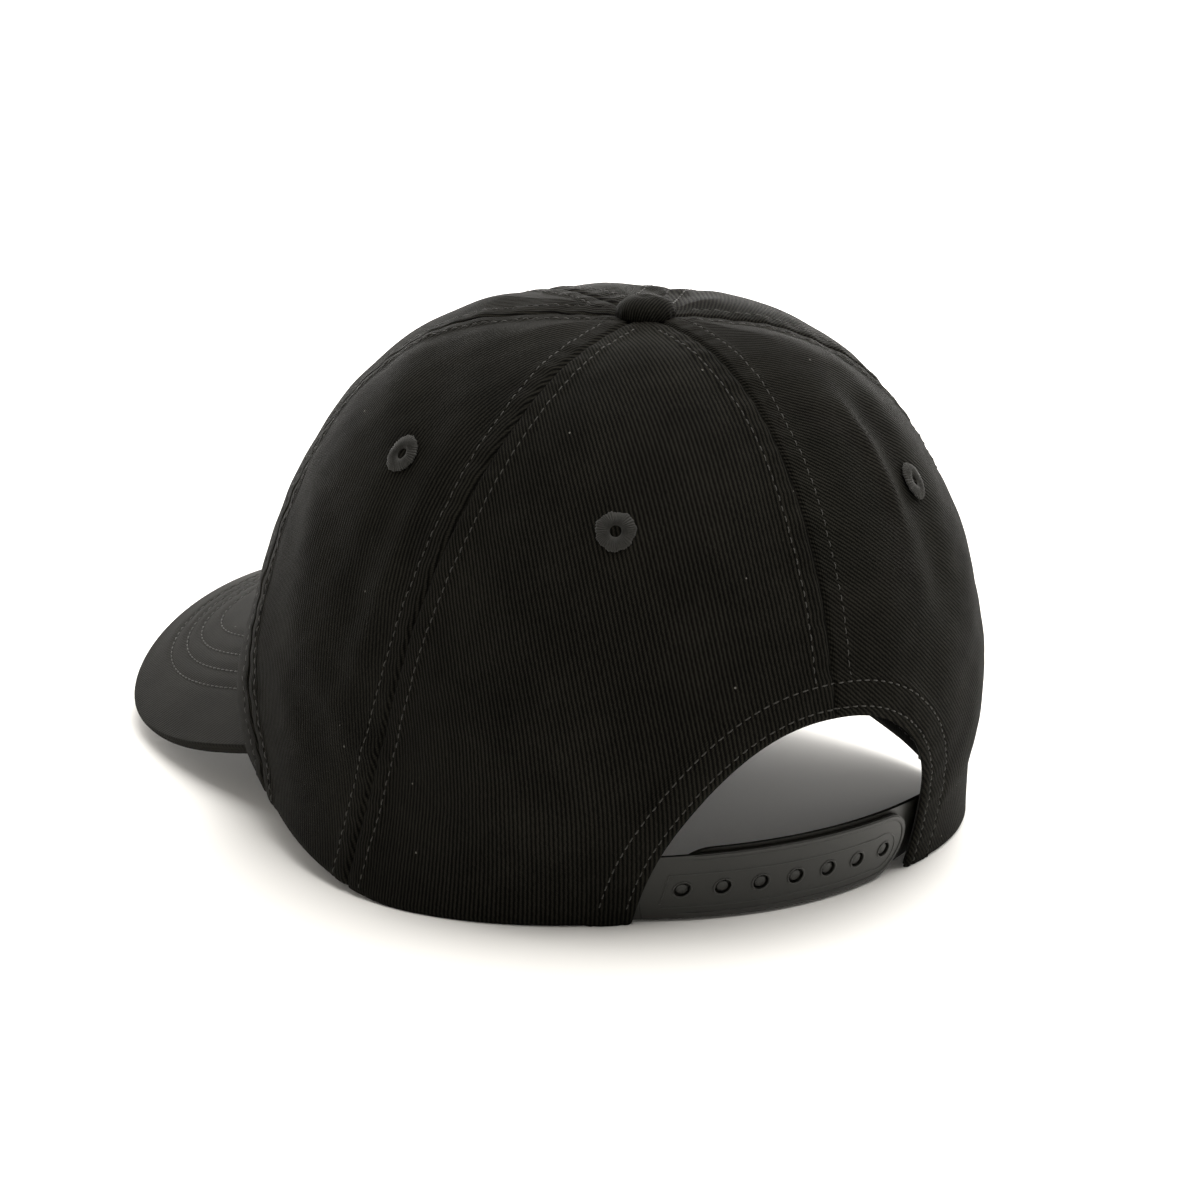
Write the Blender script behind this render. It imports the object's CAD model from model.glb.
import math

import bpy
import numpy as np
from mathutils import Matrix, Vector


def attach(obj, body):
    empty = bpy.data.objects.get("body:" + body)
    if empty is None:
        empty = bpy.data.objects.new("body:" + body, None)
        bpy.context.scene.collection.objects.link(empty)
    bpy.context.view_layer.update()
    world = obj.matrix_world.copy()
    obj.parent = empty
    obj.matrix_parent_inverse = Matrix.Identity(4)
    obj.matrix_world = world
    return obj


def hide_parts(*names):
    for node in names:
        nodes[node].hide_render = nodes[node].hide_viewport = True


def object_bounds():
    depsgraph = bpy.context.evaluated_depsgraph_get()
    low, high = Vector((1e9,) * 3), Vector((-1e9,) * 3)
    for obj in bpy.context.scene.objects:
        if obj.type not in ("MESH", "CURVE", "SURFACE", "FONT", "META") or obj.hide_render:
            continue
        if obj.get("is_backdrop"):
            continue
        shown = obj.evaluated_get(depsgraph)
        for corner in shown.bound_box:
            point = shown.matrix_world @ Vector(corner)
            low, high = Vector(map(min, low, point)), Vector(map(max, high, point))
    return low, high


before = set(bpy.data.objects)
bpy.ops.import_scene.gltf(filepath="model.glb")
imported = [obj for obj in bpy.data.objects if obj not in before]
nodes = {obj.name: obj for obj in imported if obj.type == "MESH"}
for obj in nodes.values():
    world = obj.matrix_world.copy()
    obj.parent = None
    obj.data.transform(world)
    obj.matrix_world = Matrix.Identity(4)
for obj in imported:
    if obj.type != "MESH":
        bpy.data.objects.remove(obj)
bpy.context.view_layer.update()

MM = 0.001

# The crown's sizes, in millimetres, as in the design
TOP, BELLY = 144.5, 27.5
HALF_WIDTH, HALF_LENGTH = 94.5, 107.5
SHOULDER, PROFILE = 2.6, 2.45
BELLY_Y, BUTTON_Y = -1.5, 11.5
BACK_TUCK, TUCK_HEIGHT = 29.5, 60.0
ARCH_WIDTH, ARCH_HEIGHT, ARCH_POWER = 43.2, 57.5, 2.2
BRIM_WIDTH, BRIM_FRONT, BRIM_CORNER = 84.5, -178.0, 122.0
STRAP_LOW, STRAP_RISE = 0.6, 19.6
TOP_SHARE = 0.035
STITCH_OFFSET = 5.6
SNAPS = [32.2 - 10.5 * i for i in range(7)]
EYELETS = {
    "back_left": (37.0, 107.0),
    "back_right": (-37.0, 107.0),
    "side_left": (86.0, 115.5),
    "side_right": (-86.0, 115.5),
    "front_left": (154.0, 108.0),
    "front_right": (-154.0, 108.0),
}


# ---------------------------------------------------------------- the crown's form
def bell(distance, width):
    return np.exp(-((distance / width) ** 2))


def smooth(value, low, high):
    t = np.clip((value - low) / (high - low), 0, 1)
    return t * t * (3 - 2 * t)


def share_at(z):
    up = np.clip((z - BELLY) / (TOP - BELLY), 0, 1)
    return np.maximum(1 - up**PROFILE, 0) ** (1 / SHOULDER)


def height_of(share):
    return BELLY + (TOP - BELLY) * (1 - share**SHOULDER) ** (1 / PROFILE)


def crown(angle, z):
    """Outside of the crown: angle in degrees from the back seam, + towards the wearer's left.

    The brim's stiff rear corners push the cloth out a little on both sides.
    """
    angle, z = np.broadcast_arrays(np.asarray(angle, float), np.asarray(z, float))
    theta, share = np.radians(angle), share_at(z)
    flare = np.clip(1 - z / BELLY, 0, 1) ** 2
    centre = BELLY_Y * share + BUTTON_Y * (1 - share)
    tuck = BACK_TUCK * np.clip(1 - z / TUCK_HEIGHT, 0, 1) ** 2 * np.maximum(np.cos(theta), 0) ** 1.5
    x = (HALF_WIDTH * share + 2.0 * flare) * np.sin(theta)
    y = centre + (HALF_LENGTH * share + 5.5 * flare) * np.cos(theta) - tuck
    push = 5.6 * bell(np.abs(angle) - 121, 15.0) * bell(z - 37, 25.0)
    return np.stack([x + 0.85 * push * np.sign(angle), y - 0.53 * push, z], -1)


def unit(vectors):
    return vectors / np.maximum(np.linalg.norm(vectors, axis=-1, keepdims=True), 1e-9)


def outward(angle, z):
    angle, z = np.broadcast_arrays(np.asarray(angle, float), np.asarray(z, float))
    step = np.minimum(0.5, (TOP - z) * 0.5)
    around = crown(angle + 0.5, z) - crown(angle - 0.5, z)
    up = crown(angle, z + step) - crown(angle, z - step)
    return unit(np.cross(up, around))


def per_degree(angle, z):
    return np.maximum(np.linalg.norm(crown(angle + 0.5, z) - crown(angle - 0.5, z), axis=-1), 0.01)


def angle_at_x(x, z):
    flare = np.clip(1 - z / BELLY, 0, 1) ** 2
    return np.degrees(np.arcsin(np.clip(x / (HALF_WIDTH * share_at(z) + 2.0 * flare), -1, 1)))


def brim_top(x, y):
    return 27.0 - 40.5 * (np.abs(x) / BRIM_WIDTH) ** 2 + 0.27 * (y - BRIM_FRONT)


def front_hem(angle, inset=0.0):
    angle = np.asarray(angle, float)
    z = np.full_like(angle, 20.0)
    for _ in range(14):
        point = crown(angle, z) - outward(angle, z) * inset
        z = 0.5 * z + 0.5 * np.clip(brim_top(point[..., 0], point[..., 1]), 0, 90)
    return z


def hem(angle, inset=0.0):
    """Height of the lower edge: flat at the back, rising to the brim's corner and over the brim."""
    turn = np.abs(np.asarray(angle, float))
    corner = front_hem(np.array(BRIM_CORNER), inset)
    slope = front_hem(np.array(BRIM_CORNER + 1), inset) - corner
    span = BRIM_CORNER - 68.0
    t = np.clip((turn - 68.0) / span, 0, 1)
    side = corner * t * t * (3 - 2 * t) + slope * span * (t**3 - t**2)
    return np.where(turn >= BRIM_CORNER, front_hem(np.maximum(turn, BRIM_CORNER), inset), side)


HEIGHTS = np.concatenate(
    [BELLY * np.arange(12) / 12, [height_of(s) for s in np.cos(np.radians(np.arange(180) * 0.5)) if s > 0.02]]
)
RUNS = np.concatenate(
    [[0], np.cumsum(np.hypot(HALF_WIDTH * np.diff(share_at(HEIGHTS)), np.diff(HEIGHTS)))]
)


def run_at(z):
    return np.interp(z, HEIGHTS, RUNS)


def z_at(run):
    return np.interp(run, RUNS, HEIGHTS)


RUN_TOP = run_at(height_of(TOP_SHARE))


def centre_back(z):
    return 0.0 * z


def back_seam(z):
    return 81.5 - 20.0 * z / TOP


def front_seam(z):
    return 105.0 + 25.5 * z / TOP


def centre_front(z):
    return 180.0 + 0.0 * z


SEAMS = [centre_back, back_seam, front_seam, centre_front]


def drift(p, size, seed):
    """Slow, smooth, repeatable unevenness of about -1 to 1 over a form; p in mm, size the wavelength."""
    rng = np.random.default_rng(seed)
    total = 0.0
    for _ in range(5):
        direction = rng.normal(size=3)
        direction *= 2 * math.pi / (size * rng.uniform(0.75, 1.4)) / np.linalg.norm(direction)
        total = total + np.sin(p @ direction + rng.uniform(0, 6.28))
    return total / 2.6


def folds(angle, z):
    """The few soft folds the cap keeps from being handled."""
    wide = per_degree(angle, z)
    valley_across = bell((angle + 33 + 0.05 * (z - 105)) * wide, 7.5)
    valley = -2.0 * valley_across * smooth(z, 62, 92) * (1 - smooth(z, 124, 138))
    ridge = 0.9 * bell((angle + 25.5) * wide, 3.2) * smooth(z, 92, 106) * (1 - smooth(z, 122, 132))
    shoulder = -1.6 * bell(angle + 52, 13) * bell(z - 118, 20)
    from_seam = (angle - back_seam(z)) * wide
    side_across = 0.9 * bell(from_seam - 15, 5.0) - 0.7 * bell(from_seam - 25, 6.0)
    side = side_across * smooth(z, 45, 75) * (1 - smooth(z, 112, 132))
    hollow = -0.9 * bell((angle - 30) * wide, 14) * bell(z - 134, 6)
    return valley + ridge + shoulder + side + hollow


def slow_relief(angle, z):
    """The broad unevenness and folds, which fade towards the lower edge; every layer follows it."""
    calm = smooth(run_at(z) - run_at(hem(angle)), 8, 30)
    p = crown(angle, z)
    uneven = 0.75 * drift(p, 62.0, 3) + 0.30 * drift(p, 24.0, 5) + 0.10 * drift(p, 11.0, 8)
    return calm * (uneven + folds(angle, z))


def sunk(angle, z):
    """How much further in the layers behind the cloth lie where it dips."""
    return np.maximum(-slow_relief(angle, z), 0.0)


def relief(angle, z, arch=None):
    """How far the cloth stands off the crown's form: seams, their flat felled bands, puckers and folds."""
    turn = np.abs(angle)
    p = crown(angle, z)
    run, wide = run_at(z), per_degree(angle, z)
    seam = np.full(np.shape(turn), 1e3)
    phase = np.zeros(np.shape(turn))
    for i, line in enumerate(SEAMS):
        d = np.abs(turn - line(z)) * wide
        phase = np.where(d < seam, 1.7 * i + 0.9 * np.sign(angle), phase)
        seam = np.minimum(seam, d)
    near_top = smooth(z, 96, 138)
    out = (0.45 + 1.35 * near_top) * (1 - bell(seam, 13.0)) - 0.35
    out = out + 0.42 * (1 - smooth(seam, 5.9, 7.4)) - 0.95 * bell(seam, 0.85)
    waves = np.sin(run / 1.15 + phase + 1.5 * np.sin(run / 7.0 + phase)) + 0.6 * np.sin(run / 2.1 + 3 * phase)
    out = out + 0.17 * waves * bell(seam - 3.3, 3.4)
    stitch = 0.72 + 0.28 * np.cos(2 * math.pi * run / 2.9)
    out = out - 0.38 * stitch * bell(seam - STITCH_OFFSET, 0.55)
    rise = run - run_at(hem(angle))
    out = out + slow_relief(angle, z) - 0.55 * bell(rise, 0.9)
    if arch is not None:
        edge = np.clip(1 - smooth(arch, 9.9, 11.4), 0, 1)
        out = out * (1 - edge) + edge * (0.30 + 0.16 * waves * bell(arch - 6, 3.5))
        along = np.arctan2(p[..., 0] / ARCH_WIDTH, np.maximum(z, 0.01) / ARCH_HEIGHT) * 52
        tick = 0.72 + 0.28 * np.cos(2 * math.pi * along / 2.9)
        out = out - 0.34 * tick * (bell(arch - 2.6, 0.5) + bell(arch - 9.2, 0.5))
        out = out - 0.62 * bell(arch, 0.6) + 0.08 * np.sin(along / 1.3) * bell(arch - 5.5, 3)
        out = out - 0.8 * edge * bell(seam, 0.8) * smooth(arch, 0, 1.5)
    return out


# ---------------------------------------------------------------- mesh building
def finish_mesh(name, verts, faces, material, body, uv=None, hides=()):
    mesh = bpy.data.meshes.new(name)
    mesh.from_pydata((np.asarray(verts) * MM).tolist(), [], faces)
    mesh.validate()
    mesh.polygons.foreach_set("use_smooth", [True] * len(mesh.polygons))
    if uv is not None:
        layer = mesh.uv_layers.new(name="weave")
        index = np.zeros(len(mesh.loops), np.int32)
        mesh.loops.foreach_get("vertex_index", index)
        layer.data.foreach_set("uv", np.asarray(uv, np.float32)[index].ravel())
    mesh.materials.append(material)
    mesh.update()
    obj = bpy.data.objects.new(name, mesh)
    bpy.context.scene.collection.objects.link(obj)
    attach(obj, body)
    if hides:
        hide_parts(*hides)
    return obj


def quads(index, flip=False):
    a, b, c, d = index[:-1, :-1], index[1:, :-1], index[1:, 1:], index[:-1, 1:]
    order = (a, d, c, b) if flip else (a, b, c, d)
    return np.stack(order, -1).reshape(-1, 4).tolist()


def shell(name, outer, inner, material, body, uv, hides=(), flip=False):
    """A closed sheet with an outer and an inner face; both are grids of the same shape."""
    rows, cols = outer.shape[:2]
    index = np.arange(rows * cols).reshape(rows, cols)
    far = index + rows * cols
    faces = quads(index, flip) + quads(far, not flip)
    for top, low, turn in (
        (index[0], far[0], False),
        (index[-1], far[-1], True),
        (index[:, 0], far[:, 0], True),
        (index[:, -1], far[:, -1], False),
    ):
        strip = np.stack([top, low], -1)
        faces += quads(strip, turn != flip)
    verts = np.concatenate([outer.reshape(-1, 3), inner.reshape(-1, 3)])
    uv2 = np.concatenate([uv.reshape(-1, 2)] * 2)
    return finish_mesh(name, verts, faces, material, body, uv2, hides)


def tube(name, paths, radius, material, body, sides=8, closed=False, flat=1.0):
    """Beads along dense paths of (points, normals); flat squeezes the bead towards the surface."""
    verts, faces, base = [], [], 0
    ring = np.linspace(0, 2 * math.pi, sides, endpoint=False)
    for points, normals in paths:
        along = unit(np.gradient(points, axis=0))
        across = unit(np.cross(along, normals))
        grid = (
            points[:, None]
            + across[:, None] * (np.cos(ring)[None, :, None] * radius)
            + normals[:, None] * (np.sin(ring)[None, :, None] * radius * flat)
        )
        n = len(points)
        index = np.arange(n * sides).reshape(n, sides) + base
        wrapped = np.concatenate([index, index[:, :1]], 1)
        if closed:
            wrapped = np.concatenate([wrapped, wrapped[:1]], 0)
        else:
            faces += [index[0].tolist(), index[-1][::-1].tolist()]
        faces += quads(wrapped)
        verts.append(grid.reshape(-1, 3))
        base += n * sides
    return finish_mesh(name, np.concatenate(verts), faces, material, body)


def stitches(name, paths, material, body, pitch=2.9, length=2.2, width=0.36, lift=0.08):
    """Separate thread stitches along dense paths of (points, normals), dipping in at both ends."""
    verts, faces, base, sides, stations = [], [], 0, 6, 5
    ring = np.linspace(0, 2 * math.pi, sides, endpoint=False)
    for points, normals in paths:
        run = np.concatenate([[0], np.cumsum(np.linalg.norm(np.diff(points, axis=0), axis=1))])
        count = int((run[-1] - length) / pitch)
        if count < 1:
            continue
        s = (np.arange(count) * pitch)[:, None] + np.linspace(0, length, stations)[None, :]
        centre = np.stack([np.interp(s, run, points[:, k]) for k in range(3)], -1)
        normal = unit(np.stack([np.interp(s, run, normals[:, k]) for k in range(3)], -1))
        along = unit(centre[:, -1:] - centre[:, :1])
        across = unit(np.cross(along, normal))
        shape = np.array([-0.26, 0.02, 0.09, 0.02, -0.26])
        centre = centre + normal * (lift + shape)[None, :, None]
        thick = np.array([0.62, 0.95, 1.0, 0.95, 0.62]) * width / 2
        grid = (
            centre[:, :, None]
            + across[:, :, None] * (np.cos(ring)[None, None, :, None] * thick[None, :, None, None])
            + normal[:, :, None] * (np.sin(ring)[None, None, :, None] * thick[None, :, None, None] * 0.8)
        )
        for k in range(count):
            index = np.arange(stations * sides).reshape(stations, sides) + base
            faces += quads(np.concatenate([index, index[:, :1]], 1))
            faces += [index[0].tolist(), index[-1][::-1].tolist()]
            base += stations * sides
        verts.append(grid.reshape(-1, 3))
    return finish_mesh(name, np.concatenate(verts), faces, material, body)


# ---------------------------------------------------------------- materials
def new_material(name, color, roughness, specular=0.3, sheen=0.0, sheen_roughness=0.5, metallic=0.0):
    mat = bpy.data.materials.new(name)
    mat.use_nodes = True
    bsdf = mat.node_tree.nodes["Principled BSDF"]
    bsdf.inputs["Base Color"].default_value = (*color, 1)
    bsdf.inputs["Roughness"].default_value = roughness
    bsdf.inputs["Specular IOR Level"].default_value = specular
    bsdf.inputs["Metallic"].default_value = metallic
    bsdf.inputs["Sheen Weight"].default_value = sheen
    bsdf.inputs["Sheen Roughness"].default_value = sheen_roughness
    return mat, mat.node_tree, bsdf


def math_node(tree, op, a, b=None, c=None):
    node = tree.nodes.new("ShaderNodeMath")
    node.operation = op
    for i, value in enumerate((a, b, c)):
        if value is None:
            continue
        if isinstance(value, (int, float)):
            node.inputs[i].default_value = value
        else:
            tree.links.new(value, node.inputs[i])
    return node.outputs[0]


def noise(tree, vector, scale, detail=3.0, rough=0.55):
    node = tree.nodes.new("ShaderNodeTexNoise")
    node.inputs["Scale"].default_value = scale
    node.inputs["Detail"].default_value = detail
    node.inputs["Roughness"].default_value = rough
    tree.links.new(vector, node.inputs["Vector"])
    return node.outputs["Fac"]


def blend_color(tree, factor, low, high):
    node = tree.nodes.new("ShaderNodeMix")
    node.data_type = "RGBA"
    node.clamp_factor = True
    tree.links.new(factor, node.inputs["Factor"])
    for socket, value in ((node.inputs[6], low), (node.inputs[7], high)):
        if isinstance(value, tuple):
            socket.default_value = (*value, 1)
        else:
            tree.links.new(value, socket)
    return node.outputs[2]


def add_bump(tree, bsdf, height, distance, strength=1.0):
    node = tree.nodes.new("ShaderNodeBump")
    node.inputs["Strength"].default_value = strength
    node.inputs["Distance"].default_value = distance
    tree.links.new(height, node.inputs["Height"])
    tree.links.new(node.outputs[0], bsdf.inputs["Normal"])


def position(tree):
    return tree.nodes.new("ShaderNodeTexCoord").outputs["Object"]


def weave(tree):
    node = tree.nodes.new("ShaderNodeUVMap")
    node.uv_map = "weave"
    split = tree.nodes.new("ShaderNodeSeparateXYZ")
    tree.links.new(node.outputs[0], split.inputs[0])
    return node.outputs[0], split.outputs[0], split.outputs[1]


def twill_material(name, dark, light, pitch=1.12, depth=0.00022, sheen=0.005, lint=0.7):
    """Cotton twill: slanting ribs crossed by fine yarns, slightly uneven, with a few specks of lint."""
    mat, tree, bsdf = new_material(name, dark, 0.85, 0.03, sheen, 0.4)
    uv, across, along = weave(tree)
    place = position(tree)
    wobble = noise(tree, uv, 0.9, 2.0)
    slow = noise(tree, place, 55.0, 3.0)
    fuzz = noise(tree, place, 2600.0, 2.0)
    shifted = math_node(tree, "ADD", across, math_node(tree, "MULTIPLY", wobble, 0.55))
    rib = math_node(tree, "SINE", math_node(tree, "MULTIPLY", shifted, 2 * math.pi / pitch))
    rib = math_node(tree, "POWER", math_node(tree, "MULTIPLY_ADD", rib, 0.5, 0.5), 0.7)
    slant = math_node(tree, "ADD", along, math_node(tree, "MULTIPLY", across, 0.6))
    yarn = math_node(tree, "SINE", math_node(tree, "MULTIPLY", slant, 2 * math.pi / (pitch * 0.52)))
    yarn = math_node(tree, "MULTIPLY_ADD", yarn, 0.5, 0.5)
    cloth = math_node(tree, "MULTIPLY_ADD", yarn, 0.28, math_node(tree, "MULTIPLY", rib, 0.72))
    tone = math_node(tree, "MULTIPLY_ADD", cloth, 0.95, math_node(tree, "MULTIPLY", slow, 0.45))
    tone = math_node(tree, "ADD", tone, math_node(tree, "MULTIPLY", fuzz, 0.45))
    tone = math_node(tree, "MAXIMUM", math_node(tree, "SUBTRACT", tone, 0.40), 0.0)
    tone = math_node(tree, "POWER", tone, 2.0)
    body = blend_color(tree, tone, dark, light)
    cells = tree.nodes.new("ShaderNodeTexVoronoi")
    cells.inputs["Scale"].default_value = 150.0
    tree.links.new(place, cells.inputs["Vector"])
    chance = tree.nodes.new("ShaderNodeSeparateColor")
    tree.links.new(cells.outputs["Color"], chance.inputs[0])
    speck = math_node(tree, "LESS_THAN", cells.outputs["Distance"], 0.045)
    speck = math_node(tree, "MULTIPLY", speck, math_node(tree, "LESS_THAN", chance.outputs[0], 0.16))
    speck = math_node(tree, "MULTIPLY", speck, lint)
    body = blend_color(tree, speck, body, (0.16, 0.155, 0.14))
    tree.links.new(body, bsdf.inputs["Base Color"])
    height = math_node(tree, "MULTIPLY_ADD", fuzz, 0.35, cloth)
    add_bump(tree, bsdf, height, depth)
    return mat


def plain_weave(name, dark, light, pitch, depth, rough=0.9):
    """Plain woven tape, lining or buckram: warp and weft yarns of one pitch."""
    mat, tree, bsdf = new_material(name, dark, rough, 0.2, 0.05)
    uv, across, along = weave(tree)
    warp = math_node(tree, "SINE", math_node(tree, "MULTIPLY", across, 2 * math.pi / pitch))
    weft = math_node(tree, "SINE", math_node(tree, "MULTIPLY", along, 2 * math.pi / pitch))
    cloth = math_node(tree, "MULTIPLY_ADD", math_node(tree, "MULTIPLY", warp, weft), 0.5, 0.5)
    slow_tone = noise(tree, uv, 0.25, 4.0)
    tone = math_node(tree, "MULTIPLY_ADD", slow_tone, 0.5, math_node(tree, "MULTIPLY", cloth, 0.5))
    tree.links.new(blend_color(tree, tone, dark, light), bsdf.inputs["Base Color"])
    add_bump(tree, bsdf, cloth, depth)
    return mat


def fibre_material(name, dark, light, scale, depth, rough=0.75, specular=0.3):
    """Thread or embroidery yarn: fine uneven fibres."""
    mat, tree, bsdf = new_material(name, dark, rough, specular, 0.12)
    place = position(tree)
    fine = noise(tree, place, scale, 4.0, 0.7)
    tree.links.new(blend_color(tree, fine, dark, light), bsdf.inputs["Base Color"])
    add_bump(tree, bsdf, fine, depth)
    return mat


def strap_material():
    """Soft satin plastic: a fine moulded grain with faint rubbed patches."""
    mat, tree, bsdf = new_material("strap_plastic", (0.017, 0.017, 0.0135), 0.42, 0.5)
    place = position(tree)
    patch = noise(tree, place, 38.0, 4.0)
    grain = noise(tree, place, 1500.0, 2.0)
    color = blend_color(tree, patch, (0.0085, 0.0086, 0.0066), (0.0150, 0.0150, 0.0118))
    tree.links.new(color, bsdf.inputs["Base Color"])
    rough = math_node(tree, "MULTIPLY_ADD", patch, 0.16, 0.34)
    tree.links.new(rough, bsdf.inputs["Roughness"])
    add_bump(tree, bsdf, grain, 0.00003, 0.6)
    return mat


def board_material():
    mat, tree, bsdf = new_material("brim_board_plastic", (0.55, 0.55, 0.53), 0.5, 0.4)
    place = position(tree)
    tone = noise(tree, place, 60.0, 3.0)
    tree.links.new(blend_color(tree, tone, (0.5, 0.5, 0.48), (0.62, 0.62, 0.6)), bsdf.inputs["Base Color"])
    add_bump(tree, bsdf, noise(tree, place, 900.0), 0.00004)
    return mat


def metal_material():
    mat, tree, bsdf = new_material("button_metal", (0.42, 0.41, 0.4), 0.35, 0.5, metallic=1.0)
    place = position(tree)
    scratch = noise(tree, place, 700.0, 5.0, 0.7)
    rough = math_node(tree, "MULTIPLY_ADD", scratch, 0.3, 0.22)
    tree.links.new(rough, bsdf.inputs["Roughness"])
    add_bump(tree, bsdf, scratch, 0.00002)
    return mat


CROWN_TWILL = twill_material("crown_twill", (0.0007, 0.0007, 0.0005), (0.0200, 0.0188, 0.0150), depth=0.00026)
BRIM_TWILL = twill_material(
    "brim_twill", (0.0042, 0.0040, 0.0032), (0.0190, 0.0180, 0.0148), depth=0.00012, sheen=0.008
)
TAPE = plain_weave("seam_tape_weave", (0.006, 0.0058, 0.0052), (0.02, 0.019, 0.017), 0.7, 0.00010)
BUCKRAM = plain_weave("buckram_weave", (0.010, 0.0098, 0.009), (0.035, 0.034, 0.031), 1.5, 0.00022)
BAND = twill_material("sweatband_twill", (0.006, 0.0057, 0.005), (0.019, 0.018, 0.016), 0.8, 0.0001, lint=0.2)
THREAD = fibre_material("black_thread", (0.008, 0.0078, 0.0065), (0.060, 0.057, 0.050), 900.0, 0.00006)
EYELET = fibre_material("eyelet_yarn", (0.0075, 0.0073, 0.0062), (0.032, 0.031, 0.027), 1900.0, 0.00009)
STRAP = strap_material()
BOARD = board_material()
METAL = metal_material()


def paint(node, material):
    """A better finish for a CAD node that stays."""
    for slot in nodes[node].material_slots:
        slot.link = "OBJECT"
        slot.material = material


# ---------------------------------------------------------------- crown panels
EDGE = np.array(
    [0, 0.3, 0.6, 0.95, 1.4, 2.1, 3.0, 3.9, 4.6, 5.05, 5.35, 5.6, 5.85, 6.2, 6.7, 7.4, 8.4, 10.0, 12.2]
)


def panel_columns(near, far, z, middle=26):
    """Angles of a panel's columns at heights z (columns, rows): close together beside both seams."""
    edge = EDGE[:, None] if z.ndim == 2 else EDGE
    a, b = near(z), far(z)
    wide_a, wide_b = per_degree(a, z), per_degree(b, z)
    width = (b - a) * 0.5 * (wide_a + wide_b)
    scale = np.minimum(width / 55.0, 1.0)
    n, m = len(EDGE), middle
    left = a[:n] + edge * scale[:n] / wide_a[:n]
    right = b[-n:] - edge[::-1] * scale[-n:] / wide_b[-n:]
    t = (np.arange(1, m) / m)[:, None] if z.ndim == 2 else np.arange(1, m) / m
    mid = slice(n, n + m - 1)
    low = a[mid] + EDGE[-1] * scale[mid] / wide_a[mid]
    high = b[mid] - EDGE[-1] * scale[mid] / wide_b[mid]
    return np.concatenate([left, low + (high - low) * t, right])


def panel_grid(near, far, rows=185, middle=26):
    count = 2 * len(EDGE) + middle - 1
    foot = np.zeros(count)
    for _ in range(8):
        foot = hem(panel_columns(near, far, foot, middle))
    t = np.linspace(0, 1, rows)
    low = run_at(foot)[:, None]
    z = z_at(low + (RUN_TOP - low) * t[None, :])
    return panel_columns(near, far, z, middle), z


def grain(angle, z, near, far, turn):
    """Coordinates in the cloth, in mm: across the ribs and along them, for a panel cut at its own angle."""
    u = (np.abs(angle) - 0.5 * (near(z) + far(z))) * per_degree(angle, z) * np.sign(angle + 1e-9)
    v = run_at(z)
    c, s = math.cos(math.radians(turn)), math.sin(math.radians(turn))
    return np.stack([u * c + v * s, -u * s + v * c], -1)


def build_panel(name, angle, z, near, far, turn, arch=None):
    side = -1.0 if "right" in name else 1.0
    angle = angle * side
    out = relief(angle, z, arch)
    form, normal = crown(angle, z), outward(angle, z)
    outer = form + normal * out[..., None]
    dip = sunk(angle, z)
    backing = np.maximum(0.8 - 0.35 * np.minimum(out, 0.4), (0.8 + dip) * (dip > 0))
    if arch is not None:
        backing = np.where(arch < 3, np.minimum(backing, 0.74), backing)
    inner = form - normal * backing[..., None]
    uv = grain(angle, z, near, far, turn)
    return shell(name + "_cloth", outer, inner, CROWN_TWILL, "crown", uv, [name], side < 0)


BAND_ROWS = np.array(
    [0, 0.2, 0.45, 0.8, 1.3, 1.8, 2.2, 2.4, 2.6, 2.8, 3.1, 3.8]
    + [5, 6.3, 7.5, 8.4, 8.85, 9.2, 9.55, 10, 10.7, 11.6, 12.6]
)


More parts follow.
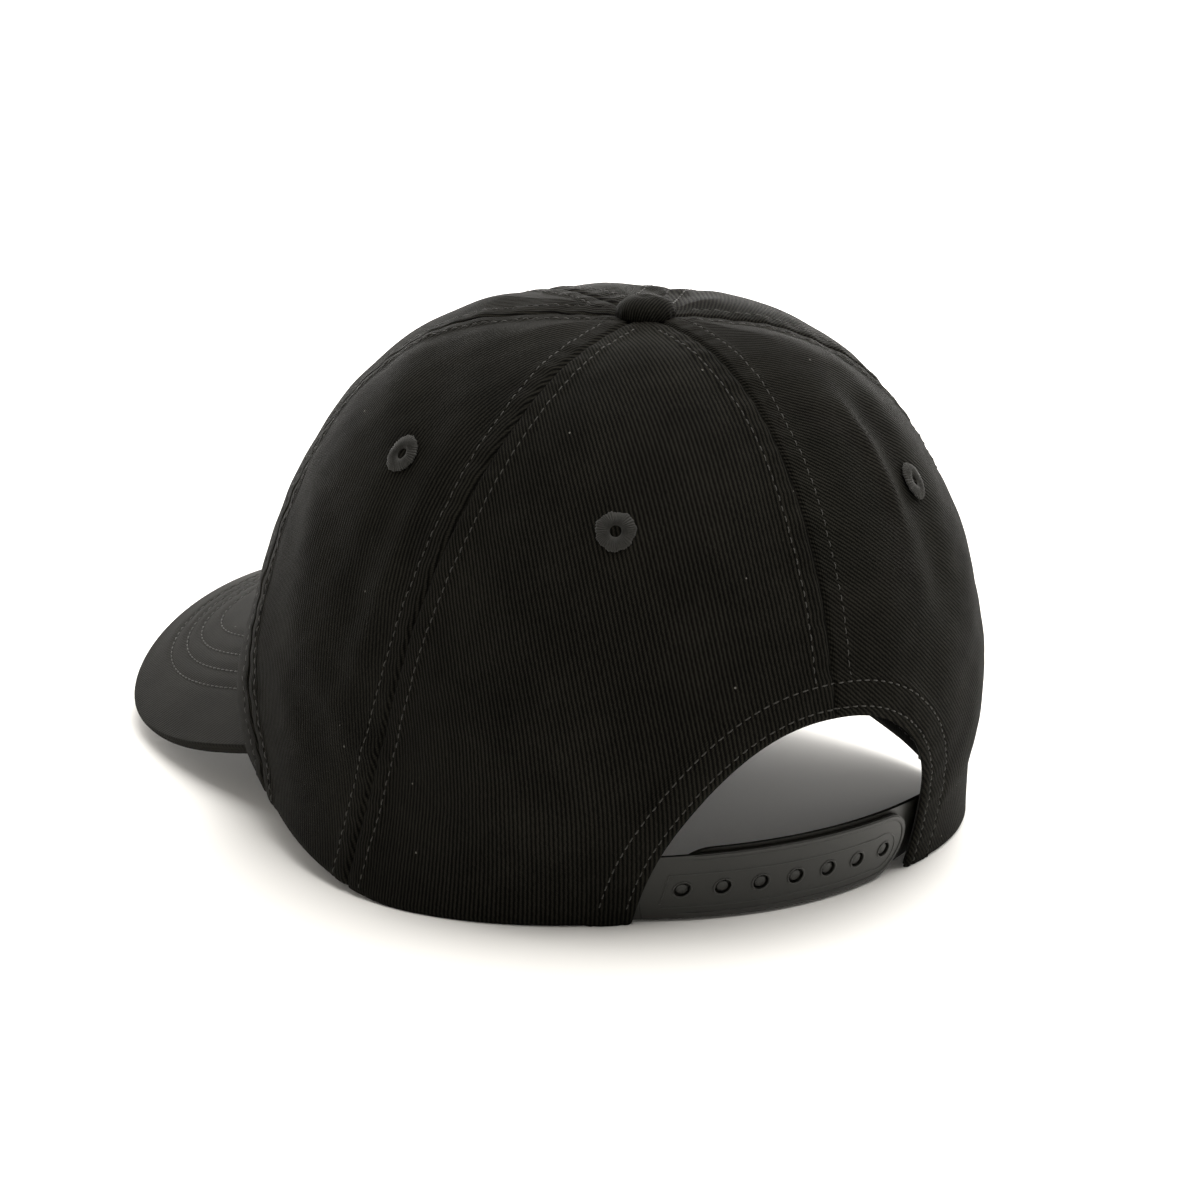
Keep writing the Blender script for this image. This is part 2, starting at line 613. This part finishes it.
def back_grid(cols=86, rows=150):
    """The back panel's grid: rows follow the arch first, then spread to the side seam and the button."""
    u = np.linspace(0, 1, cols)
    u = u - 0.13 * np.sin(2 * math.pi * u)
    phi = np.radians(np.linspace(0, 90, 1500))
    fx, fz = np.sin(phi) ** (2 / ARCH_POWER), np.cos(phi) ** (2 / ARCH_POWER)
    fz[-1] = 0.0
    arc = np.concatenate([[0], np.cumsum(np.hypot(np.diff(fx * ARCH_WIDTH), np.diff(fz * ARCH_HEIGHT)))])
    sx = np.interp(u, arc / arc[-1], fx)
    sz = np.interp(u, arc / arc[-1], fz)
    band_x = (ARCH_WIDTH + BAND_ROWS)[None, :] * sx[:, None]
    band_z = (ARCH_HEIGHT + BAND_ROWS)[None, :] * sz[:, None]
    band_angle = angle_at_x(band_x, band_z)
    low_angle, low_run = band_angle[:, -1], run_at(band_z[:, -1])
    v = np.linspace(0, 1, rows + 1)[1:]
    left_run = low_run[0] + (RUN_TOP - low_run[0]) * v
    foot = back_seam(0.0)
    for _ in range(8):
        foot = back_seam(hem(np.array(foot)))
    hem_angle = np.linspace(low_angle[-1], foot, 60)
    side_run = np.linspace(run_at(hem(np.array(foot))), RUN_TOP, 300)[1:]
    edge_angle = np.concatenate([hem_angle, back_seam(z_at(side_run))])
    edge_run = np.concatenate([run_at(hem(hem_angle)), side_run])
    step = np.concatenate([np.diff(hem_angle) * 1.6, np.diff(side_run)[:1], np.diff(side_run)])
    along = np.concatenate([[0], np.cumsum(step)])
    along /= along[-1]
    right_angle, right_run = np.interp(v, along, edge_angle), np.interp(v, along, edge_run)
    top_angle = u * back_seam(z_at(RUN_TOP))
    U, V = u[:, None], v[None, :]

    def patch(bottom, top, left, right):
        corners = (
            (1 - U) * (1 - V) * bottom[0] + U * (1 - V) * bottom[-1] + (1 - U) * V * top[0] + U * V * top[-1]
        )
        return (1 - V) * bottom[:, None] + V * top[:, None] + (1 - U) * left + U * right - corners

    angle = patch(low_angle, top_angle, 0 * left_run, right_angle)
    run = patch(low_run, np.full(cols, RUN_TOP), left_run, right_run)
    all_angle = np.concatenate([band_angle, angle], 1)
    all_z = np.concatenate([band_z, z_at(run)], 1)
    arch = np.concatenate([np.broadcast_to(BAND_ROWS, band_x.shape), np.full(angle.shape, 99.0)], 1)
    return all_angle, all_z, arch


angle, z, arch = back_grid()
build_panel("back_left_panel", angle, z, centre_back, back_seam, -19.0, arch)
build_panel("back_right_panel", angle, z, centre_back, back_seam, -40.0, arch)
angle, z = panel_grid(back_seam, front_seam)
build_panel("side_left_panel", angle, z, back_seam, front_seam, -6.0)
build_panel("side_right_panel", angle, z, back_seam, front_seam, -48.0)
angle, z = panel_grid(front_seam, centre_front)
build_panel("front_left_panel", angle, z, front_seam, centre_front, -20.0)
build_panel("front_right_panel", angle, z, front_seam, centre_front, -38.0)


# ---------------------------------------------------------------- topstitching on the crown
def crown_path(angle, z, lift=0.0, arch=None):
    normal = outward(angle, z)
    return crown(angle, z) + normal * (relief(angle, z, arch) + lift)[..., None], normal


rows = []
for side in (1.0, -1.0):
    for line, low in ((centre_back, ARCH_HEIGHT + 9.6), (back_seam, 0.0), (front_seam, 0.0), (centre_front, 0.0)):
        for shift in (-1.0, 1.0):
            if line in (centre_back, centre_front) and (shift < 0) != (line is centre_front):
                continue
            zz = z_at(np.linspace(run_at(max(low, 0.0)), RUN_TOP, 900))
            aa = line(zz)
            aa = aa + shift * STITCH_OFFSET / per_degree(aa, zz)
            keep = (zz > hem(aa) + 1.0) & (STITCH_OFFSET / per_degree(aa, zz) < 27)
            rows.append(crown_path(side * aa[keep], zz[keep]))
stitches("crown_topstitching", rows, THREAD, "crown")

phi = np.radians(np.linspace(-90, 90, 900))
rows = []
for offset in (2.6, 9.2):
    x = (ARCH_WIDTH + offset) * np.sign(phi) * np.abs(np.sin(phi)) ** (2 / ARCH_POWER)
    zz = np.maximum((ARCH_HEIGHT + offset) * np.abs(np.cos(phi)) ** (2 / ARCH_POWER), 0.0)
    keep = zz > 0.8
    rows.append(crown_path(angle_at_x(x, zz)[keep], zz[keep], arch=np.full(keep.sum(), offset)))
stitches("opening_topstitching", rows, THREAD, "crown")


# ---------------------------------------------------------------- inside the crown
def inner_strip(name, angle, z, inset, thick, material, hides, wave=0.12, edge=6.5):
    """A sheet inside the crown at an inset, gently puckered; angle and z are grids (across, along)."""
    form, normal = crown(angle, z), outward(angle, z)
    across = np.linspace(-edge, edge, angle.shape[0])[:, None] + 0 * z
    ripple = wave * np.sin(run_at(z) / 1.3 + across * 0.25) * bell(np.abs(across) - edge + 1.5, 1.6)
    inset = inset + sunk(angle, z)
    outer = form - normal * inset[..., None]
    inner = form - normal * (inset + thick + 0.12 + ripple)[..., None]
    uv = np.stack([across, run_at(z)], -1)
    return shell(name, outer, inner, material, "crown", uv, hides)


rows = []
for name, line, low in (
    ("seam_tape_back", centre_back, ARCH_HEIGHT + 12.5),
    ("seam_tape_back_left", back_seam, 3.0),
    ("seam_tape_back_right", back_seam, 3.0),
    ("seam_tape_front_left", front_seam, float(hem(front_seam(14.0), 2.15)) + 3.0),
    ("seam_tape_front_right", front_seam, float(hem(front_seam(14.0), 2.15)) + 3.0),
    ("seam_tape_front", centre_front, float(hem(180.0, 2.15)) + 3.0),
):
    side = -1.0 if "right" in name else 1.0
    runs = np.linspace(run_at(low), run_at(height_of(0.07)), 180)
    zz = z_at(runs)
    reach = np.minimum(7.0 / per_degree(line(zz), zz), 22.0)
    grid_z = np.broadcast_to(zz, (21, len(zz)))
    grid_a = side * line(zz)[None, :] + np.linspace(-1, 1, 21)[:, None] * reach[None, :]
    inner_strip(name + "_woven", grid_a, grid_z, 1.6, 0.4, TAPE, [name])
    for shift in (-0.8, 0.8):
        aa = side * line(zz) + shift * reach
        normal = outward(aa, zz)
        rows.append((crown(aa, zz) - normal * (2.2 + sunk(aa, zz))[:, None], -normal))
stitches("tape_stitching", rows, THREAD, "crown", lift=0.06)

for side, name in ((1.0, "front_left_stiffener"), (-1.0, "front_right_stiffener")):
    count, steps = 40, 90
    t = np.linspace(0, 1, count)[:, None]
    top = height_of(0.16)
    foot = np.zeros(count)
    for _ in range(8):
        a, b = front_seam(foot), centre_front(foot)
        foot = hem(a + (b - a) * t[:, 0], 1.45) + 1.5
    zz = z_at(
        run_at(foot)[:, None] + (run_at(top) - run_at(foot))[:, None] * np.linspace(0, 1, steps)[None, :]
    )
    a = front_seam(zz) + 1.5 / per_degree(front_seam(zz), zz)
    b = centre_front(zz) - 1.0 / per_degree(centre_front(zz), zz)
    angle = side * (a + (b - a) * t)
    form, normal = crown(angle, zz), outward(angle, zz)
    uv = np.stack([(np.abs(angle) - 150) * per_degree(angle, zz), run_at(zz)], -1)
    inset = (0.95 + sunk(angle, zz))[..., None]
    outer, inner = form - normal * inset, form - normal * (inset + 0.5)
    shell(name + "_mesh", outer, inner, BUCKRAM, "crown", uv, [name], side < 0)

# Sweatband: a folded strip with a rolled upper edge, stitched along both edges
start = float(angle_at_x(ARCH_WIDTH + 9.5, 10.0))
angles = np.concatenate([np.linspace(start, 180, 150), np.linspace(-180, -start, 150)[1:]])
low = hem(angles, 3.15) + 0.6
rise = np.array([0, 0.5, 1.2, 2.2, 3, 3.6, 4.2, 5.5, 8, 11, 14, 17, 20, 23, 25.5, 27, 27.6, 28.2, 29.2, 30.4, 31.3, 31.8, 32])
zz = low[:, None] + rise[None, :]
aa = np.broadcast_to(angles[:, None], zz.shape)
form, normal = crown(aa, zz), outward(aa, zz)
puff = 0.28 * np.sin(np.pi * np.clip((rise - 3.6) / 24, 0, 1)) - 0.22 * (bell(rise - 3.6, 0.6) + bell(rise - 27.6, 0.6))
puff = puff[None, :] + 0.10 * np.sin(angles / 1.9)[:, None] * bell(rise - 29.5, 3)[None, :]
dip = sunk(aa, zz)
body_in = 3.05 + dip + puff - 0.45 * (bell(rise, 0.5) + bell(rise - 32, 0.5))[None, :]
uv = np.stack([np.broadcast_to((angles * 1.75)[:, None], zz.shape), np.broadcast_to(rise, zz.shape)], -1)
shell(
    "sweatband_cloth",
    form - normal * (2.15 + dip)[..., None],
    form - normal * body_in[..., None],
    BAND,
    "crown",
    uv,
    ["sweatband"],
)
rows = []
for up in (3.6, 27.6):
    level = low + up
    normal = outward(angles, level)
    for part in (slice(0, 150), slice(149, None)):
        seat = crown(angles, level) - normal * (2.86 + sunk(angles, level))[:, None]
        rows.append((seat[part], -normal[part]))
stitches("sweatband_stitching", rows, THREAD, "crown", lift=0.0)

# Facing tape round the inside of the back opening
phi = np.radians(np.linspace(-90, 90, 160))[:, None]
grow = np.array([0.3, 0.7, 1.4, 2.3, 2.6, 2.9, 4, 5.5, 7, 8.4, 8.8, 9.2, 9.6, 10])[None, :]
x = (ARCH_WIDTH + grow) * np.sign(phi) * np.abs(np.sin(phi)) ** (2 / ARCH_POWER)
zz = np.maximum((ARCH_HEIGHT + grow) * np.abs(np.cos(phi)) ** (2 / ARCH_POWER), 0.4)
aa = angle_at_x(x, zz)
form, normal = crown(aa, zz), outward(aa, zz)
dent = 0.12 * (bell(grow - 2.6, 0.5) + bell(grow - 8.8, 0.5))
uv = np.stack([np.broadcast_to(phi * 52, zz.shape), np.broadcast_to(grow, zz.shape)], -1)
shell(
    "opening_facing_tape",
    form - normal * 0.95,
    form - normal * (1.42 - dent)[..., None],
    TAPE,
    "crown",
    uv,
    ["opening_facing"],
    True,
)


# ---------------------------------------------------------------- eyelets and button
def frame_at(angle, z):
    origin = crown(angle, z)
    normal = outward(angle, z)
    east = unit(np.cross(np.array([0.0, 0.0, 1.0]), normal))
    return origin, east, np.cross(normal, east), normal


for i, (name, (angle, z)) in enumerate(EYELETS.items()):
    origin, east, north, normal = frame_at(np.array(angle), np.array(z))
    base = float(relief(np.array(angle), np.array(z)))
    depth = 1.45 if "front" in name else 0.8
    profile = np.array(
        [
            (1.50, -0.30), (1.62, 0.25), (1.95, 0.68), (2.5, 0.96), (3.2, 1.02),
            (4.0, 0.84), (4.6, 0.52), (5.1, 0.16),
            (5.0, -0.10), (2.4, -0.20), (2.35, -depth), (4.3, -depth - 0.1), (4.7, -depth - 0.35),
            (4.2, -depth - 0.75), (3.2, -depth - 0.9), (2.2, -depth - 0.85),
            (1.6, -depth - 0.6), (1.35, -depth - 0.2),
        ]
    )
    count, threads = 384, 46 + i % 3
    turn = np.linspace(0, 2 * math.pi, count, endpoint=False)
    wander = 0.14 * np.sin(3 * turn + i) + 0.10 * np.sin(7 * turn + 2.1 * i)
    ridge = np.abs(np.sin(threads * (turn + 0.05 * np.sin(5 * turn + i)) / 2)) ** 0.7
    r = (
        profile[None, :, 0]
        + wander[:, None] * (profile[None, :, 0] > 4)
        - 0.10 * (1 - ridge)[:, None] * (profile[None, :, 0] < 2)
    )
    ragged = 0.22 * np.sin(11 * turn + 3 * i) * np.sin(4 * turn) + 0.30 * ridge
    r = r + ragged[:, None] * (profile[None, :, 0] > 4.5)
    swell = np.sin(np.pi * np.clip((profile[:, 0] - 1.2) / 3.9, 0, 1))
    h = profile[None, :, 1] + np.sign(profile[None, :, 1] + 0.15) * 0.52 * (ridge[:, None] - 0.7) * swell[None, :]
    h = h + np.where(profile[None, :, 1] > -0.15, base, min(base, 0.3 * base))
    points = (
        origin
        + east * (np.cos(turn)[:, None, None] * r[..., None])
        + north * (np.sin(turn)[:, None, None] * r[..., None])
        + normal * h[..., None]
    )
    n, m = points.shape[:2]
    index = np.arange(n * m).reshape(n, m)
    index = np.concatenate([index, index[:1]], 0)
    index = np.concatenate([index, index[:, :1]], 1)
    finish_mesh(
        f"eyelet_{name}_yarn", points.reshape(-1, 3), quads(index), EYELET, "crown", None, [f"eyelet_{name}"]
    )

# Covered button: a squashed dome of twill gathered under its edge, with a slightly uneven skirt
turn = np.linspace(0, 2 * math.pi, 120, endpoint=False)
rise = np.radians(np.concatenate([[-38, -26, -14, -5], np.linspace(2, 90, 24)]))
radial = np.sign(np.cos(rise)) * np.abs(np.cos(rise)) ** 0.8
height = np.where(rise < 0, np.sin(rise) * 1.6, 0.1 + 4.9 * np.abs(np.sin(rise)) ** 0.85)
wave = 1 + 0.014 * np.sin(2 * turn + 0.6) + 0.010 * np.sin(5 * turn)
pleat = 0.16 * np.sin(17 * turn)
R = 8.05 * radial[None, :] * wave[:, None] + pleat[:, None] * bell(rise, 0.30)[None, :]
H = height[None, :] + 0.14 * np.sin(3 * turn + 1)[:, None] * np.cos(rise)[None, :]
H = H - 0.28 * bell(R, 1.6)
grid = np.stack([R * np.cos(turn)[:, None], BUTTON_Y + R * np.sin(turn)[:, None], TOP + H], -1)
n, m = grid.shape[:2]
index = np.arange(n * m).reshape(n, m)
index = np.concatenate([index, index[:1]], 0)
reach = np.concatenate([[0], np.cumsum(np.hypot(np.diff(8.0 * radial), np.diff(height)))])
reach = (reach[-1] - reach)[None, :] * 1.35
bx, by = reach * np.cos(turn)[:, None], reach * np.sin(turn)[:, None]
uv = np.stack([-0.516 * bx + 0.854 * by, 0.854 * bx + 0.516 * by], -1).reshape(-1, 2)
button_faces = quads(index) + [index[:-1, 0].tolist()[::-1]]
finish_mesh(
    "button_cloth", grid.reshape(-1, 3), button_faces, CROWN_TWILL, "crown", uv, ["button_cover"]
)
paint("button_core", METAL)
paint("button_washer", METAL)


# ---------------------------------------------------------------- brim
CORNER_Y = -58.55
BRIM_PATH = np.linspace(0, 1, 221)


def outer_edge(t, inset_x=0.0, inset_y=0.0, power=2.95):
    """The brim's outer edge in plan, t from the right corner (0) round the front to the left corner (1)."""
    sweep = np.radians(np.linspace(-90, 90, 3000))
    x = (BRIM_WIDTH - inset_x) * np.sign(sweep) * np.abs(np.sin(sweep)) ** (2 / power)
    y = CORNER_Y - (CORNER_Y - BRIM_FRONT - inset_y) * np.abs(np.cos(sweep)) ** (2 / power)
    run = np.concatenate([[0], np.cumsum(np.hypot(np.diff(x), np.diff(y)))])
    return np.stack([np.interp(t * run[-1], run, x), np.interp(t * run[-1], run, y)], -1)


def inner_edge(t, reach):
    turn = 360 - BRIM_CORNER - (360 - 2 * BRIM_CORNER) * t
    signed = np.where(turn > 180, turn - 360, turn)
    z = front_hem(np.maximum(np.abs(signed), BRIM_CORNER))
    point = crown(signed, z) - outward(signed, z) * reach
    return point[..., :2]


def brim_normal(x):
    slope = -2 * 40.5 * x / BRIM_WIDTH**2
    return unit(np.stack([-slope, np.full_like(x, -0.27), np.ones_like(x)], -1))


# Stitching rows on the brim: how far in at the side and at the front, and how square the curve is
BRIM_ROWS = [(15.1, 9.0, 3.5), (20.2, 14.0, 3.75), (25.8, 19.0, 4.3), (32.4, 25.0, 5.0)]


def oval_distance(x, y, inset_x, inset_y, power):
    """Distance from a rounded outline round the brim, positive inside it."""
    a, b = BRIM_WIDTH - inset_x, CORNER_Y - BRIM_FRONT - inset_y
    px, py = np.abs(x) / a, np.maximum(CORNER_Y - y, 0) / b
    f = np.maximum((px**power + py**power) ** (1 / power), 1e-3)
    slope = np.hypot(px ** (power - 1) / a, py ** (power - 1) / b) * f ** (1 - power)
    return (1 - f) / np.maximum(slope, 1e-4)


def brim_relief(x, y, side):
    d = oval_distance(x, y, 0.0, 0.0, 2.95)
    out = 0.12 * smooth(d, 1.5, 6)
    for row in BRIM_ROWS:
        gap = oval_distance(x, y, *row)
        out = out - 0.20 * bell(gap, 0.8) + 0.05 * bell(np.abs(gap) - 2.4, 1.2)
    p = np.stack([x, y, 0 * x], -1)
    return side * (out + 0.12 * drift(p, 34.0, 21) * smooth(d, 2, 10))


across = np.concatenate([np.linspace(0, 0.86, 80), np.linspace(0.86, 1, 26)[1:]])
outer_xy, inner_xy = outer_edge(BRIM_PATH), inner_edge(BRIM_PATH, 3.6)
tuck = np.array([7.0, 5.6, 4.2, 2.8, 1.4])
back_step = np.stack([0.11 * tuck, tuck], -1)
mirror_x = np.array([-1.0, 1.0])
outer_xy = np.concatenate([outer_xy[0] + back_step, outer_xy, outer_xy[-1] + (back_step * mirror_x)[::-1]])
inner_xy = np.concatenate([inner_xy[0] + back_step, inner_xy, inner_xy[-1] + (back_step * mirror_x)[::-1]])
tucked_up = 0.30 * np.concatenate([tuck, 0 * BRIM_PATH, tuck[::-1]])[:, None]
xy = inner_xy[:, None] + (outer_xy - inner_xy)[:, None] * across[None, :, None]
x, y = xy[..., 0], xy[..., 1]
flat = np.stack([x, y, brim_top(x, y) + tucked_up], -1)
normal = brim_normal(x)
thick = 4.1
upper = flat + normal * brim_relief(x, y, 1.0)[..., None]
lower = flat - normal * (thick - 0.1 + brim_relief(x, y, 1.0))[..., None]
edge_out = unit(np.concatenate([outer_xy - inner_xy, 0 * outer_xy[:, :1]], 1))
turn = np.radians(np.linspace(78, -78, 11))
round_x, round_z = np.cos(turn), np.sin(turn)
edge_pts = []
for cx, cz in zip(round_x, round_z):
    groove = 0.35 * math.exp(-((cz / 0.16) ** 2))
    point = flat[:, -1] - normal[:, -1] * (thick / 2 - cz * (thick / 2 - 0.05)) + edge_out * (1.1 * cx - 1.1 - groove + 0.6)
    edge_pts.append(point)
edge_pts = np.stack(edge_pts, 1)
section = np.concatenate([upper[:, :-1], edge_pts, lower[:, :-1][:, ::-1]], 1)
n, m = section.shape[:2]
index = np.arange(n * m).reshape(n, m)
faces = quads(np.concatenate([index, index[:, :1]], 1), True)
faces += [index[0].tolist(), index[-1].tolist()[::-1]]
uv = np.stack([section[..., 0] * 0.8 + section[..., 1] * 0.6, section[..., 1] * 0.8 - section[..., 0] * 0.6], -1)
finish_mesh(
    "brim_cloth",
    section.reshape(-1, 3),
    faces,
    BRIM_TWILL,
    "crown",
    uv.reshape(-1, 2),
    ["brim_top_cover", "brim_bottom_cover", "brim_edge_margin"],
)
paint("brim_board", BOARD)

rows_top, rows_low = [], []
for row in BRIM_ROWS:
    xy = outer_edge(np.linspace(0, 1, 1600), *row)
    x, y = xy[:, 0], xy[:, 1]
    inner = inner_edge(BRIM_PATH, -0.6)
    front = np.interp(x, inner[:, 0][np.argsort(inner[:, 0])], inner[:, 1][np.argsort(inner[:, 0])])
    keep = (y < front) & (np.abs(x) < BRIM_WIDTH)
    normal = brim_normal(x)
    top = np.stack([x, y, brim_top(x, y)], -1)
    out = brim_relief(x, y, 1.0)[:, None]
    rows_top.append(((top + normal * out)[keep], normal[keep]))
    rows_low.append(((top - normal * (thick - 0.1 + out))[keep], -normal[keep]))
stitches("brim_topstitching", rows_top, THREAD, "crown", lift=0.1)
stitches("brim_underside_stitching", rows_low, THREAD, "crown", lift=0.02)


# ---------------------------------------------------------------- strap
def strap_point(x, share):
    z = STRAP_LOW + STRAP_RISE * share
    tab = crown(angle_at_x(np.full_like(x, ARCH_WIDTH), z), z)[..., 1]
    bow = 12.5 + (9.5 - 12.5) * share
    return np.stack([x, tab - 2.2 + bow * (1 - (x / ARCH_WIDTH) ** 2), z], -1)


def strap_frame(x, share):
    x, share = np.asarray(x, float), np.asarray(share, float)
    along = strap_point(x + 0.5, share) - strap_point(x - 0.5, share)
    up = strap_point(x, share + 0.02) - strap_point(x, share - 0.02)
    return strap_point(x, share), unit(along), unit(up), unit(np.cross(up, along))


for node in ("outer_strap", "outer_strap_tail", "inner_strap", "inner_strap_tail"):
    paint(node, STRAP)


def dense(points, count=600):
    """Evenly spaced points along a polyline in (x, height share) on the strap."""
    points = np.asarray(points, float)
    scale = np.array([1.0, STRAP_RISE])
    run = np.concatenate([[0], np.cumsum(np.linalg.norm(np.diff(points * scale, axis=0), axis=1))])
    s = np.linspace(0, run[-1], count)
    return np.interp(s, run, points[:, 0]), np.interp(s, run, points[:, 1])


def strap_outline(inset, end=-39.5, tail=36.6):
    """Along the top edge, round the free end and back along the bottom edge."""
    r = STRAP_RISE / 2 - inset
    centre = end + STRAP_RISE / 2
    bend = np.radians(np.linspace(90, 270, 60))
    arc = np.stack([centre + r * np.cos(bend), 0.5 + r * np.sin(bend) / STRAP_RISE], -1)
    return np.concatenate([[(tail, arc[0, 1])], arc, [(tail, arc[-1, 1])]])


x, share = dense(strap_outline(0.9))
point, _, _, normal = strap_frame(x, share)
settle = (0.02 - 0.42 * smooth(x, 29.0, 35.0))[:, None]
tube(
    "outer_strap_rim", [(point + normal * settle, normal)], 0.72, STRAP, "outer_strap", 12,
    flat=0.42,
)

r, centre = 5.9, -39.5 + 10.0
bend = np.radians(np.linspace(68, 292, 70))
arc = np.stack([centre + r * np.cos(bend), 0.44 + r * 0.92 * np.sin(bend) / STRAP_RISE], -1)
line = np.concatenate([[(36.9, 0.24)], [(36.4, arc[0, 1])], arc, [(36.2, arc[-1, 1])]])
x, share = dense(line)
point, _, _, normal = strap_frame(x, share)
tube("outer_strap_frame_line", [(point, normal)], 0.26, STRAP, "outer_strap", 8, flat=0.55)

rings, heads = [], []
turn = np.linspace(0, 2 * math.pi, 48, endpoint=False)
for snap in SNAPS:
    origin, along, up, normal = strap_frame(snap, 0.46)
    circle = origin + along * (2.45 * np.cos(turn))[:, None] + up * (2.45 * np.sin(turn))[:, None]
    rings.append((circle, np.broadcast_to(normal, circle.shape)))
tube("snap_hole_collars", rings, 0.3, STRAP, "outer_strap", 8, closed=True, flat=0.8)

verts, faces, base = [], [], 0
levels = np.radians(np.linspace(-20, 90, 9))
for snap in SNAPS:
    origin, along, up, normal = strap_frame(snap, 0.46)
    ring_r, ring_h = 1.52 * np.cos(levels), -0.62 + 0.5 * np.sin(levels)
    pts = (
        origin
        + along * (ring_r[None, :] * np.cos(turn)[:, None])[..., None]
        + up * (ring_r[None, :] * np.sin(turn)[:, None])[..., None]
        + normal * np.broadcast_to(ring_h, (len(turn), 9))[..., None]
    )
    index = np.arange(len(turn) * 9).reshape(len(turn), 9) + base
    index = np.concatenate([index, index[:1]], 0)
    faces += quads(index, True) + [index[:-1, 0].tolist()]
    verts.append(pts.reshape(-1, 3))
    base += len(turn) * 9
finish_mesh("snap_peg_heads", np.concatenate(verts), faces, STRAP, "inner_strap")

# ---------------------------------------------------------------- floor, light and camera
floor = bpy.data.meshes.new("floor")
floor.from_pydata([(-6, -6, 0), (6, -6, 0), (6, 6, 0), (-6, 6, 0)], [], [(0, 1, 2, 3)])
floor_mat, tree, bsdf = new_material("floor_paper", (0.94, 0.93, 0.91), 0.9, 0.1)
floor.materials.append(floor_mat)
floor_obj = bpy.data.objects.new("floor", floor)
bpy.context.scene.collection.objects.link(floor_obj)
floor_obj.location.z = -0.0002
floor_obj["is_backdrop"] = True

world = bpy.data.worlds.new("studio")
bpy.context.scene.world = world
world.use_nodes = True
world.node_tree.nodes["Background"].inputs[0].default_value = (1.0, 0.955, 0.87, 1)
world.node_tree.nodes["Background"].inputs[1].default_value = 0.30


def softbox(name, place, target, size, power, color=(1, 0.985, 0.96)):
    light = bpy.data.lights.new(name, "AREA")
    light.shape = "RECTANGLE"
    light.size, light.size_y = size
    light.energy = power
    light.color = color
    obj = bpy.data.objects.new(name, light)
    obj.location = place
    obj.rotation_euler = (Vector(target) - Vector(place)).to_track_quat("-Z", "Y").to_euler()
    bpy.context.scene.collection.objects.link(obj)
    return obj


softbox("overhead", (-0.50, -0.02, 1.75), (0, 0, 0.0), (2.5, 2.5), 74.0)
softbox("backdrop_glow", (-0.85, -1.36, 0.62), (0, 0, 0.30), (3.2, 1.2), 44.0)
softbox("low_strip", (-0.64, -1.02, 0.10), (0, 0, 0.02), (2.6, 0.15), 26.0)

azimuth, elevation, roll = math.radians(147.92), math.radians(17.15), math.radians(0.26)
back = Vector((math.sin(azimuth) * math.cos(elevation), -math.cos(azimuth) * math.cos(elevation), math.sin(elevation)))
right = Vector((math.cos(azimuth), math.sin(azimuth), 0))
up = back.cross(right)
target = right * (-5.68 * MM) + Vector((0, 0, 62.0 * MM))
right2 = right * math.cos(roll) + up * math.sin(roll)
up2 = up * math.cos(roll) - right * math.sin(roll)
camera = bpy.data.cameras.new("camera")
camera.sensor_width = 36.0
camera.lens = 7257 / 1200 * 36.0
camera.clip_end = 50
camera_obj = bpy.data.objects.new("camera", camera)
place = target + back * 1.960
rotation = Matrix((right2, up2, back)).transposed().to_4x4()
camera_obj.matrix_world = Matrix.Translation(place) @ rotation
bpy.context.scene.collection.objects.link(camera_obj)
bpy.context.scene.camera = camera_obj
bpy.context.scene.view_settings.view_transform = "Standard"

low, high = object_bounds()
